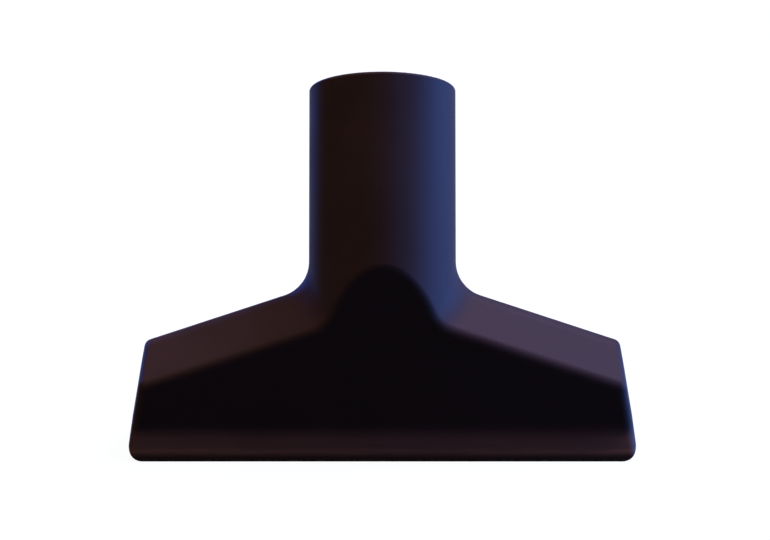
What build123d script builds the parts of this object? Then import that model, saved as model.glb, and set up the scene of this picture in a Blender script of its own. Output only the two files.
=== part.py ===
from build123d import *
import os
from math import cos, hypot, radians, sin, tan

# Vacuum upholstery nozzle, moulded in one piece from black plastic.
# The mouth lies on Z = 0 with its length along X, the front face looks along -Y,
# and the origin is the middle of the mouth. Millimetres and degrees.

# Mouth and lip
mouth_width = 129.4         # along X between the end walls at the mouth, before its corners are rounded
mouth_depth = 39.0          # outside depth of the lip along Y
lip_land = 1.8              # upright outer edge of the lip
lip_flare = 33.5            # outward lean of the lip, from upright
cove_share = 0.285          # part of the lip's slant that the cove above it takes up
lip_corner = 3.5            # round of the mouth's two ends, seen from the front

# Head
head_depth = 32.0           # between the flat front face and the flat back face
end_flare = 9.5             # outward lean of the end walls, from upright
shoulder_slope = 18.5       # fall of the shoulders from the neck to the ends
shoulder_end_height = 26.7  # height of the ridge where it meets the end wall
roof_pitch = 29.0           # fall of the shoulder's roof to the front and to the back
ridge_radius = 8.0          # round along the top of the shoulder

# Socket tube
socket_bore = 32.3          # for a 32 mm suction tube
socket_depth = 40.0         # how far the suction tube goes in
socket_stop = 1.2           # ledge that stops the suction tube
socket_lead = 1.0           # chamfer at the socket's mouth
tube_lean = 25.0            # backward lean of the socket, from upright
tube_sink = 7.1             # from the crown of the shoulders down to where the socket's axis crosses
tube_reach = 52.9           # along the axis from that crossing to the rim

# Walls and rounds
wall = 2.5
neck_radius = 9.0           # fillet between the tube and the shoulders
crease_radius = 3.0         # round between the shoulder's roof and the upright faces
end_radius = 2.2            # round along the edges of the end walls and of the lip
rim_radius = 0.8            # round on the socket's rim

# Room that a cutting shape takes past the face it cuts, and the slack in picking edges by their place
overrun = 4.0
slack = 0.01

# Sizes that follow from those above
half_width = mouth_width / 2
half_mouth = mouth_depth / 2
half_depth = head_depth / 2
lip_overhang = half_mouth - half_depth
slant = radians(lip_flare)
cove_reach = cove_share * lip_overhang / sin(slant)
cove_bend = lip_land + lip_overhang / tan(slant)
cove_top = cove_bend + cove_reach
flare = tan(radians(end_flare))
slope = radians(shoulder_slope)
pitch = radians(roof_pitch)
lean = radians(tube_lean)
ridge_end = half_width - shoulder_end_height * flare
crown_height = shoulder_end_height + ridge_end * tan(slope)
tube_cross_height = crown_height - tube_sink
tube_radius = socket_bore / 2 + wall
downhill = Vector(cos(slope), 0, -sin(slope))

# The tube starts well inside the head, and the head starts deep enough to take the whole neck fillet
tube_foot = -tube_radius
front_stock = tube_radius

# The socket's own plane: its Z runs out along the tube's axis, its X looks to the back
socket = Plane((0, 0, tube_cross_height), x_dir=(0, cos(lean), -sin(lean)), z_dir=(0, sin(lean), cos(lean)))


def between_ends(inset, low):
    """The space between the two leaning end walls, each moved inwards by the inset, from a low level up."""
    high = mouth_width
    low_x = half_width - inset - low * flare
    high_x = half_width - inset - high * flare
    front = make_face(Polyline((-low_x, low), (low_x, low), (high_x, high), (-high_x, high), close=True))
    return extrude(Plane.XZ * front, mouth_width, both=True)


def outside_corner():
    """What the round at the mouth's end takes away, from its arc out past the sharp corner."""
    up_wall = Vector(-sin(radians(end_flare)), cos(radians(end_flare)))
    off_wall = Vector(cos(radians(end_flare)), sin(radians(end_flare)))
    corner = Vector(half_width, 0)
    reach = lip_corner / tan(radians(90 - end_flare) / 2)
    on_mouth = corner - Vector(reach, 0)
    on_wall = corner + up_wall * reach
    below = on_mouth - Vector(0, overrun)
    beside = on_wall + off_wall * overrun
    arc = TangentArc(on_mouth, on_wall, tangent=(1, 0))
    outer = Polyline(on_wall, beside, (beside.X, below.Y), below, on_mouth)
    return extrude(Plane.XZ * make_face(arc + outer), mouth_width, both=True)


def half_shoulder(inset, stock):
    """A house-shaped section with a round ridge, carried downhill from the middle of the head.

    The inset moves both roofs and both upright faces inwards, and the stock moves the front one outwards.
    """
    radius = ridge_radius - inset
    centre = crown_height - ridge_radius
    touch_y = radius * sin(pitch)
    touch_z = centre + radius * cos(pitch)
    front = half_depth - inset + stock
    back = half_depth - inset
    front_eave = touch_z - (front - touch_y) * tan(pitch)
    back_eave = touch_z - (back - touch_y) * tan(pitch)
    ridge = ThreePointArc((-touch_y, touch_z), (0, centre + radius), (touch_y, touch_z))
    walls = Polyline(
        (touch_y, touch_z), (back, back_eave), (back, -2 * overrun),
        (-front, -2 * overrun), (-front, front_eave), (-touch_y, touch_z),
    )
    return extrude(Plane.YZ * make_face(ridge + walls), mouth_width, dir=downhill)


def half_lip(inset, foot):
    """The flared lip as a solid block, up to the end wall: a cove from each upright face, a slant and a land.

    The inset moves all its sides inwards. The land drops upright from the slant to the foot.
    """
    inner = half_depth - inset
    outer = half_mouth - inset
    cove_end = (inner + cove_reach * sin(slant), cove_bend - cove_reach * cos(slant))
    cove = TangentArc((inner, cove_top), cove_end, tangent=(0, -1))
    edge = Polyline(cove_end, (outer, lip_land), (outer, foot), (0, foot), (0, cove_top), (inner, cove_top))
    side = Plane.YZ * make_face(cove + edge)
    block = extrude(side + mirror(side, about=Plane.XZ), mouth_width)
    return block & between_ends(inset, foot)


def round_the_axis(*profile):
    """A solid turned about the socket's axis from a profile of radius and place along the axis."""
    outline = Polyline((0, profile[0][1]), *profile, (0, profile[-1][1]), close=True)
    return socket * revolve(Plane.XZ * make_face(outline), Axis.Z)


def on_plane_y(edge, y):
    """True for an edge that lies in an upright plane across Y."""
    return all(abs(edge.position_at(t).Y - y) < slack for t in (0, 0.5, 1))


def on_end_wall(edge):
    """True for an edge that lies in the right half's leaning end wall, above the mouth."""
    spots = [edge.position_at(t) for t in (0, 0.5, 1)]
    in_wall = all(abs(half_width - p.Z * flare - p.X) < slack for p in spots)
    return in_wall and spots[1].Z > slack


def on_lip(edge):
    """True for the long outer edge of the lip, front or back, where its slant meets its upright land."""
    spots = [edge.position_at(t) for t in (0, 0.5, 1)]
    return all(abs(p.Z - lip_land) < slack and abs(abs(p.Y) - half_mouth) < slack for p in spots)


def on_tube(edge):
    """True for an edge that lies on the outside of the tube, between its foot and its rim."""
    spots = [socket.to_local_coords(edge.position_at(t)) for t in (0, 0.25, 0.5, 0.75, 1)]
    on_wall = all(abs(hypot(p.X, p.Y) - tube_radius) < slack for p in spots)
    return on_wall and tube_foot + slack < spots[2].Z < tube_reach - rim_radius - slack


# Right half of the head and tube, with stock on the front so that the neck fillet runs out past the face
right = half_shoulder(0, front_stock) & between_ends(0, 0)
eaves = right.edges().filter_by(Axis((0, 0, 0), downhill))
back_crease = [e for e in eaves if on_plane_y(e, half_depth)]
right = fillet(back_crease, crease_radius)
tube = round_the_axis((tube_radius, tube_foot), (tube_radius, tube_reach))
tube = fillet(tube.edges().filter_by(GeomType.CIRCLE).sort_by(Axis.Z)[-1], rim_radius)
right += split(tube, bisect_by=Plane.YZ, keep=Keep.TOP)
neck = [e for e in right.edges() if on_tube(e) and e.geom_type != GeomType.LINE]
right = fillet(neck, neck_radius)

# Flat front face, cut through the shoulder, the neck fillet and the tube
right = split(right, bisect_by=Plane.XZ.offset(half_depth), keep=Keep.BOTTOM)
front = [e for e in right.edges() if on_plane_y(e, -half_depth) and e.center().Z > slack]
front_crease = [e for e in front if not on_end_wall(e) and e.center().X > slack]
right = fillet(front_crease, crease_radius)

# Flared lip round the mouth, one round along the outline of the end wall, and the mouth's rounded end
right += half_lip(0, 0)
right = fillet([e for e in right.edges() if on_end_wall(e) or on_lip(e)], end_radius)
right -= outside_corner()

# Hollow inside: the head's cavity, the flare of the mouth, the throat, the stop and the socket
hollow = half_shoulder(wall, 0) & between_ends(wall, -overrun)
hollow += half_lip(wall, -overrun)
bore_radius = socket_bore / 2
throat_radius = bore_radius - socket_stop
stop_level = tube_reach - socket_depth
passage = round_the_axis(
    (throat_radius, tube_foot), (throat_radius, stop_level), (bore_radius, stop_level),
    (bore_radius, tube_reach - socket_lead), (bore_radius + socket_lead, tube_reach),
)
hollow += split(passage, bisect_by=Plane.XZ.offset(half_depth - wall), keep=Keep.BOTTOM)
right -= hollow

# The whole moulding is the same on both sides
body = right + mirror(right, about=Plane.YZ)

os.makedirs("parts", exist_ok=True)
export_step(body, "parts/nozzle.step")
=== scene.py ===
from math import cos, pi, radians, sin

import bpy
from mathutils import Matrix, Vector


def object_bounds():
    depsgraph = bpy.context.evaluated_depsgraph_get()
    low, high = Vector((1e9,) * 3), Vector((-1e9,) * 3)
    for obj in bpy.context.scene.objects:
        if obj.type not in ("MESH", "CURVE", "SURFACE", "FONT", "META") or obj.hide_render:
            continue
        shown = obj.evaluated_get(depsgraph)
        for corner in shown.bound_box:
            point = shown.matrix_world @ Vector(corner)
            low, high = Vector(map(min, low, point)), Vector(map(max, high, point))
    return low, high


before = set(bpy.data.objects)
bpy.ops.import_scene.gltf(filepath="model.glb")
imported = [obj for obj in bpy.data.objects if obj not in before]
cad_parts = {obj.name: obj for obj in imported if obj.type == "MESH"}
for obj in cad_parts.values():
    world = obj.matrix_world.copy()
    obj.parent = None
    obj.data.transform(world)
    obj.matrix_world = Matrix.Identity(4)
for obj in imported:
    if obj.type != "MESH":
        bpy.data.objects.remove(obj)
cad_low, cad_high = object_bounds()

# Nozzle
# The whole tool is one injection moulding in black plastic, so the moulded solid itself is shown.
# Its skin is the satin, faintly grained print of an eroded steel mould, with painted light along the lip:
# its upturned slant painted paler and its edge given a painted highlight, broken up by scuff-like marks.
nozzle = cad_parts["nozzle"]

MM = 0.001
BLACK = (0.0240, 0.0155, 0.0155, 1)         # the plastic as moulded
FADED_BLACK = (0.0320, 0.0210, 0.0210, 1)   # where the carbon black lies a little thinner
FADED_SHARE = 0.6                           # how far the plastic goes from one to the other
PAINTED_LIP_LIGHT = (0.0620, 0.0370, 0.0290, 1)  # painted light on the lip's slant and a painted highlight along its edge
FLOW_SIZE = 22 * MM                         # slow unevenness where the melt ran and cooled
FLOW_ROUGHNESS = (0.52, 0.58)               # the satin skin, as the flow varies it
GRAIN_SIZE = 0.35 * MM                      # one bump of the mould's eroded grain
GRAIN_DEPTH = 0.012 * MM
GRAIN_STRENGTH = 0.5
GRAIN_ROUGHNESS = (-0.03, 0.05)             # what the grain adds to the satin
SLANT_TOP = 8.4 * MM                        # how far up the lip the painted light reaches
SLANT_FOOT = 5.2 * MM                       # from here down the lip's slant is painted evenly lighter
SLANT_LIGHT_SHARE = 0.5                             # how much of the full painted light the slant shows
EDGE_TOP = 3.5 * MM                         # where the painted highlight starts, above the lip's edge
EDGE_FOOT = 2.4 * MM                        # from here down the edge carries the full painted highlight
SCUFF_LENGTH = 9 * MM                       # scuff-like marks that break up the painted lip light run along the mouth
SCUFF_WIDTH = 0.5 * MM
SCUFF_GAP = 0.6                             # the share of the painted lip light that is left between the marks
PLASTIC_IOR = 1.49
PLASTIC_SPECULAR = 0.025                    # a dull skin, which hardly mirrors the white round it
NOISE_RANGE = (0.3, 0.7)                    # where nearly all values of a noise lie
COLOUR_INPUTS = (6, 7)                      # a Mix node's two colours among its inputs
COLOUR_OUTPUT = 2                           # and the mixed colour among its outputs


def feed(tree, socket, value):
    """A socket linked from another socket, or set to a plain value."""
    if isinstance(value, bpy.types.NodeSocket):
        tree.links.new(value, socket)
    else:
        socket.default_value = value


def add_node(tree, kind, **inputs):
    """A new shader node of a kind, with each named input linked from a socket or set to a value."""
    made = tree.nodes.new("ShaderNode" + kind)
    for name, value in inputs.items():
        feed(tree, made.inputs[name.replace("_", " ")], value)
    return made


def fresh_material(name):
    """A material with an empty node tree and its output node."""
    material = bpy.data.materials.new(name)
    material.use_nodes = True
    material.node_tree.nodes.clear()
    output = material.node_tree.nodes.new("ShaderNodeOutputMaterial")
    return material, material.node_tree, output


def calculate(tree, operation, *values):
    """The sum, product or larger one of two values, each a number or a socket."""
    made = tree.nodes.new("ShaderNodeMath")
    made.operation = operation
    for socket, value in zip(made.inputs, values):
        feed(tree, socket, value)
    return made.outputs["Value"]


def noise(tree, place, size, detail, roughness):
    """A soft random value at each place, which rises and falls about once in a size."""
    made = add_node(tree, "TexNoise", Vector=place, Scale=1 / size, Detail=detail, Roughness=roughness)
    return made.outputs["Fac"]


def ramp(tree, value, start, end, low, high):
    """A value mapped to stay at low before the start, run smoothly to high, and stay there past the end."""
    made = add_node(tree, "MapRange", Value=value, From_Min=start, From_Max=end, To_Min=low, To_Max=high)
    made.interpolation_type = "SMOOTHSTEP"
    return made.outputs["Result"]


def blend_colours(tree, share, *colours):
    """Two colours mixed by a share that varies over the surface."""
    made = add_node(tree, "Mix")
    made.data_type = "RGBA"
    feed(tree, made.inputs["Factor"], share)
    for place, colour in zip(COLOUR_INPUTS, colours):
        feed(tree, made.inputs[place], colour)
    return made.outputs[COLOUR_OUTPUT]


plastic, tree, output = fresh_material("moulded_black_plastic")
place = tree.nodes.new("ShaderNodeTexCoord").outputs["Object"]
grain = noise(tree, place, GRAIN_SIZE, detail=2.0, roughness=0.55)
flow = noise(tree, place, FLOW_SIZE, detail=3.0, roughness=0.5)

# Painted light on the lip: half of it over the lip's slant, as painted light on the upturned flare, and all
# of it along the edge as a painted highlight, broken up by marks along the mouth
marks_per_metre = (1 / SCUFF_LENGTH, 1 / SCUFF_WIDTH, 1 / SCUFF_WIDTH)
drawn_out = add_node(tree, "Mapping", Vector=place, Scale=marks_per_metre).outputs["Vector"]
scuffs = noise(tree, drawn_out, 1.0, detail=3.0, roughness=0.6)
height = add_node(tree, "SeparateXYZ", Vector=place).outputs["Z"]
on_slant = ramp(tree, height, SLANT_TOP, SLANT_FOOT, 0.0, SLANT_LIGHT_SHARE)
on_edge = ramp(tree, height, EDGE_TOP, EDGE_FOOT, 0.0, 1.0 - SLANT_LIGHT_SHARE)
near_lip = calculate(tree, "ADD", on_slant, on_edge)
painted_lip_light = calculate(tree, "MULTIPLY", near_lip, ramp(tree, scuffs, *NOISE_RANGE, SCUFF_GAP, 1.0))

faded = ramp(tree, flow, *NOISE_RANGE, 0.0, FADED_SHARE)
moulded = blend_colours(tree, faded, BLACK, FADED_BLACK)
# The lip's painted light and painted highlight laid over the moulded black
colour = blend_colours(tree, painted_lip_light, moulded, PAINTED_LIP_LIGHT)

flow_satin = ramp(tree, flow, *NOISE_RANGE, *FLOW_ROUGHNESS)
grain_satin = ramp(tree, grain, *NOISE_RANGE, *GRAIN_ROUGHNESS)
satin = calculate(tree, "ADD", flow_satin, grain_satin)
skin = add_node(tree, "Bump", Height=grain, Strength=GRAIN_STRENGTH, Distance=GRAIN_DEPTH).outputs["Normal"]
surface = add_node(tree, "BsdfPrincipled", Base_Color=colour, Roughness=satin, Normal=skin, IOR=PLASTIC_IOR)
surface.inputs["Specular IOR Level"].default_value = PLASTIC_SPECULAR
tree.links.new(surface.outputs["BSDF"], output.inputs["Surface"])
nozzle.material_slots[0].material = plastic

# Floor
# A pale seamless sheet of paper under the tool, wide enough to fill the view behind it.
# It shows white to the eye and in reflections, keeps the tool's soft shadow, and throws little light back.
FLOOR_HALF = 3.0
FLOOR_LEVEL = -0.05 * MM                    # a hair under the lip, so that the two faces don't coincide
FLOOR_GREY = (0.035, 0.055, 0.060, 1)       # what it throws back of the lamps' light, a little cool
FLOOR_GLOW = 0.95                           # white, with the lamps' light on the paper added

floor_mesh = bpy.data.meshes.new("floor")
signs = ((-1, -1), (1, -1), (1, 1), (-1, 1))
corners = [(x * FLOOR_HALF, y * FLOOR_HALF, FLOOR_LEVEL) for x, y in signs]
floor_mesh.from_pydata(corners, [], [(0, 1, 2, 3)])
floor = bpy.data.objects.new("floor", floor_mesh)
bpy.context.scene.collection.objects.link(floor)

paper, tree, output = fresh_material("floor_paper")
ray = tree.nodes.new("ShaderNodeLightPath")
seen = ray.outputs["Is Camera Ray"]
for kind in ("Is Glossy Ray", "Is Transmission Ray"):
    seen = calculate(tree, "MAXIMUM", seen, ray.outputs[kind])
white = add_node(tree, "Emission", Strength=calculate(tree, "MULTIPLY", seen, FLOOR_GLOW))
lit = add_node(tree, "BsdfDiffuse", Color=FLOOR_GREY)
both = tree.nodes.new("ShaderNodeAddShader")
tree.links.new(lit.outputs["BSDF"], both.inputs[0])
tree.links.new(white.outputs["Emission"], both.inputs[1])
tree.links.new(both.outputs["Shader"], output.inputs["Surface"])
floor_mesh.materials.append(paper)

# Light
# Soft boxes that face the tool, in the photograph's colours of light: a warm one overhead and a little
# behind, which leaves the upright front dark, a pale violet one high up behind on the right, a blue one
# low on the right and a thin blue strip behind on the left. The room itself is nearly dark.
WARM = (1.0, 0.62, 0.50)
PALE_VIOLET = (0.70, 0.64, 1.0)
BLUE = (0.09, 0.28, 1.0)
DEEP_BLUE = (0.02, 0.16, 1.0)
ROOM_TINT = (0.80, 0.88, 1.0, 1)
ROOM_STRENGTH = 0.02

middle = (cad_low + cad_high) / 2


def soft_box(name, place, width, height, radiance, tint):
    """A rectangular lamp at a place, facing the tool: its power is pi times its area times its radiance."""
    lamp = bpy.data.lights.new(name, "AREA")
    lamp.shape = "RECTANGLE"
    lamp.size = width
    lamp.size_y = height
    lamp.energy = pi * width * height * radiance
    lamp.color = tint
    box = bpy.data.objects.new(name, lamp)
    box.location = place
    box.rotation_mode = "QUATERNION"
    box.rotation_quaternion = (middle - Vector(place)).to_track_quat("-Z", "Y")
    bpy.context.scene.collection.objects.link(box)


soft_box("overhead_box", (-0.05, 0.10, 1.10), width=1.6, height=0.35, radiance=9.8, tint=WARM)
soft_box("corner_box", (0.42, 0.47, 0.95), width=0.6, height=0.5, radiance=18.5, tint=PALE_VIOLET)
soft_box("right_box", (0.80, 0.20, 0.28), width=0.7, height=0.6, radiance=32.0, tint=BLUE)
soft_box("left_strip", (-0.54, 0.87, 0.25), width=0.10, height=0.6, radiance=42.0, tint=DEEP_BLUE)

world = bpy.data.worlds.new("studio")
world.use_nodes = True
background = world.node_tree.nodes["Background"]
background.inputs["Color"].default_value = ROOM_TINT
background.inputs["Strength"].default_value = ROOM_STRENGTH
bpy.context.scene.world = world

# Camera
# A long lens from the front and a little above, as in the photograph, which is 770 by 540 pixels.
# Its focal length makes one pixel the same size on the tool as in the photograph.
CAMERA_ELEVATION = radians(12)
CAMERA_DISTANCE = 2.0
PHOTO_WIDTH = 770
PIXEL = 0.2535 * MM                         # one pixel of the photograph, measured at the tool
AIM = Vector((0.66 * MM, 0, 45.25 * MM))    # the place in the tool that is the middle of the picture
SENSOR = 36.0

camera_data = bpy.data.cameras.new("camera")
camera_data.sensor_width = SENSOR
camera_data.lens = SENSOR * CAMERA_DISTANCE / (PHOTO_WIDTH * PIXEL)
camera = bpy.data.objects.new("camera", camera_data)
backwards = Vector((0, -cos(CAMERA_ELEVATION), sin(CAMERA_ELEVATION)))
camera.location = AIM + backwards * CAMERA_DISTANCE
camera.rotation_mode = "QUATERNION"
camera.rotation_quaternion = (-backwards).to_track_quat("-Z", "Y")
bpy.context.scene.collection.objects.link(camera)
bpy.context.scene.camera = camera
bpy.context.scene.view_settings.view_transform = "Standard"
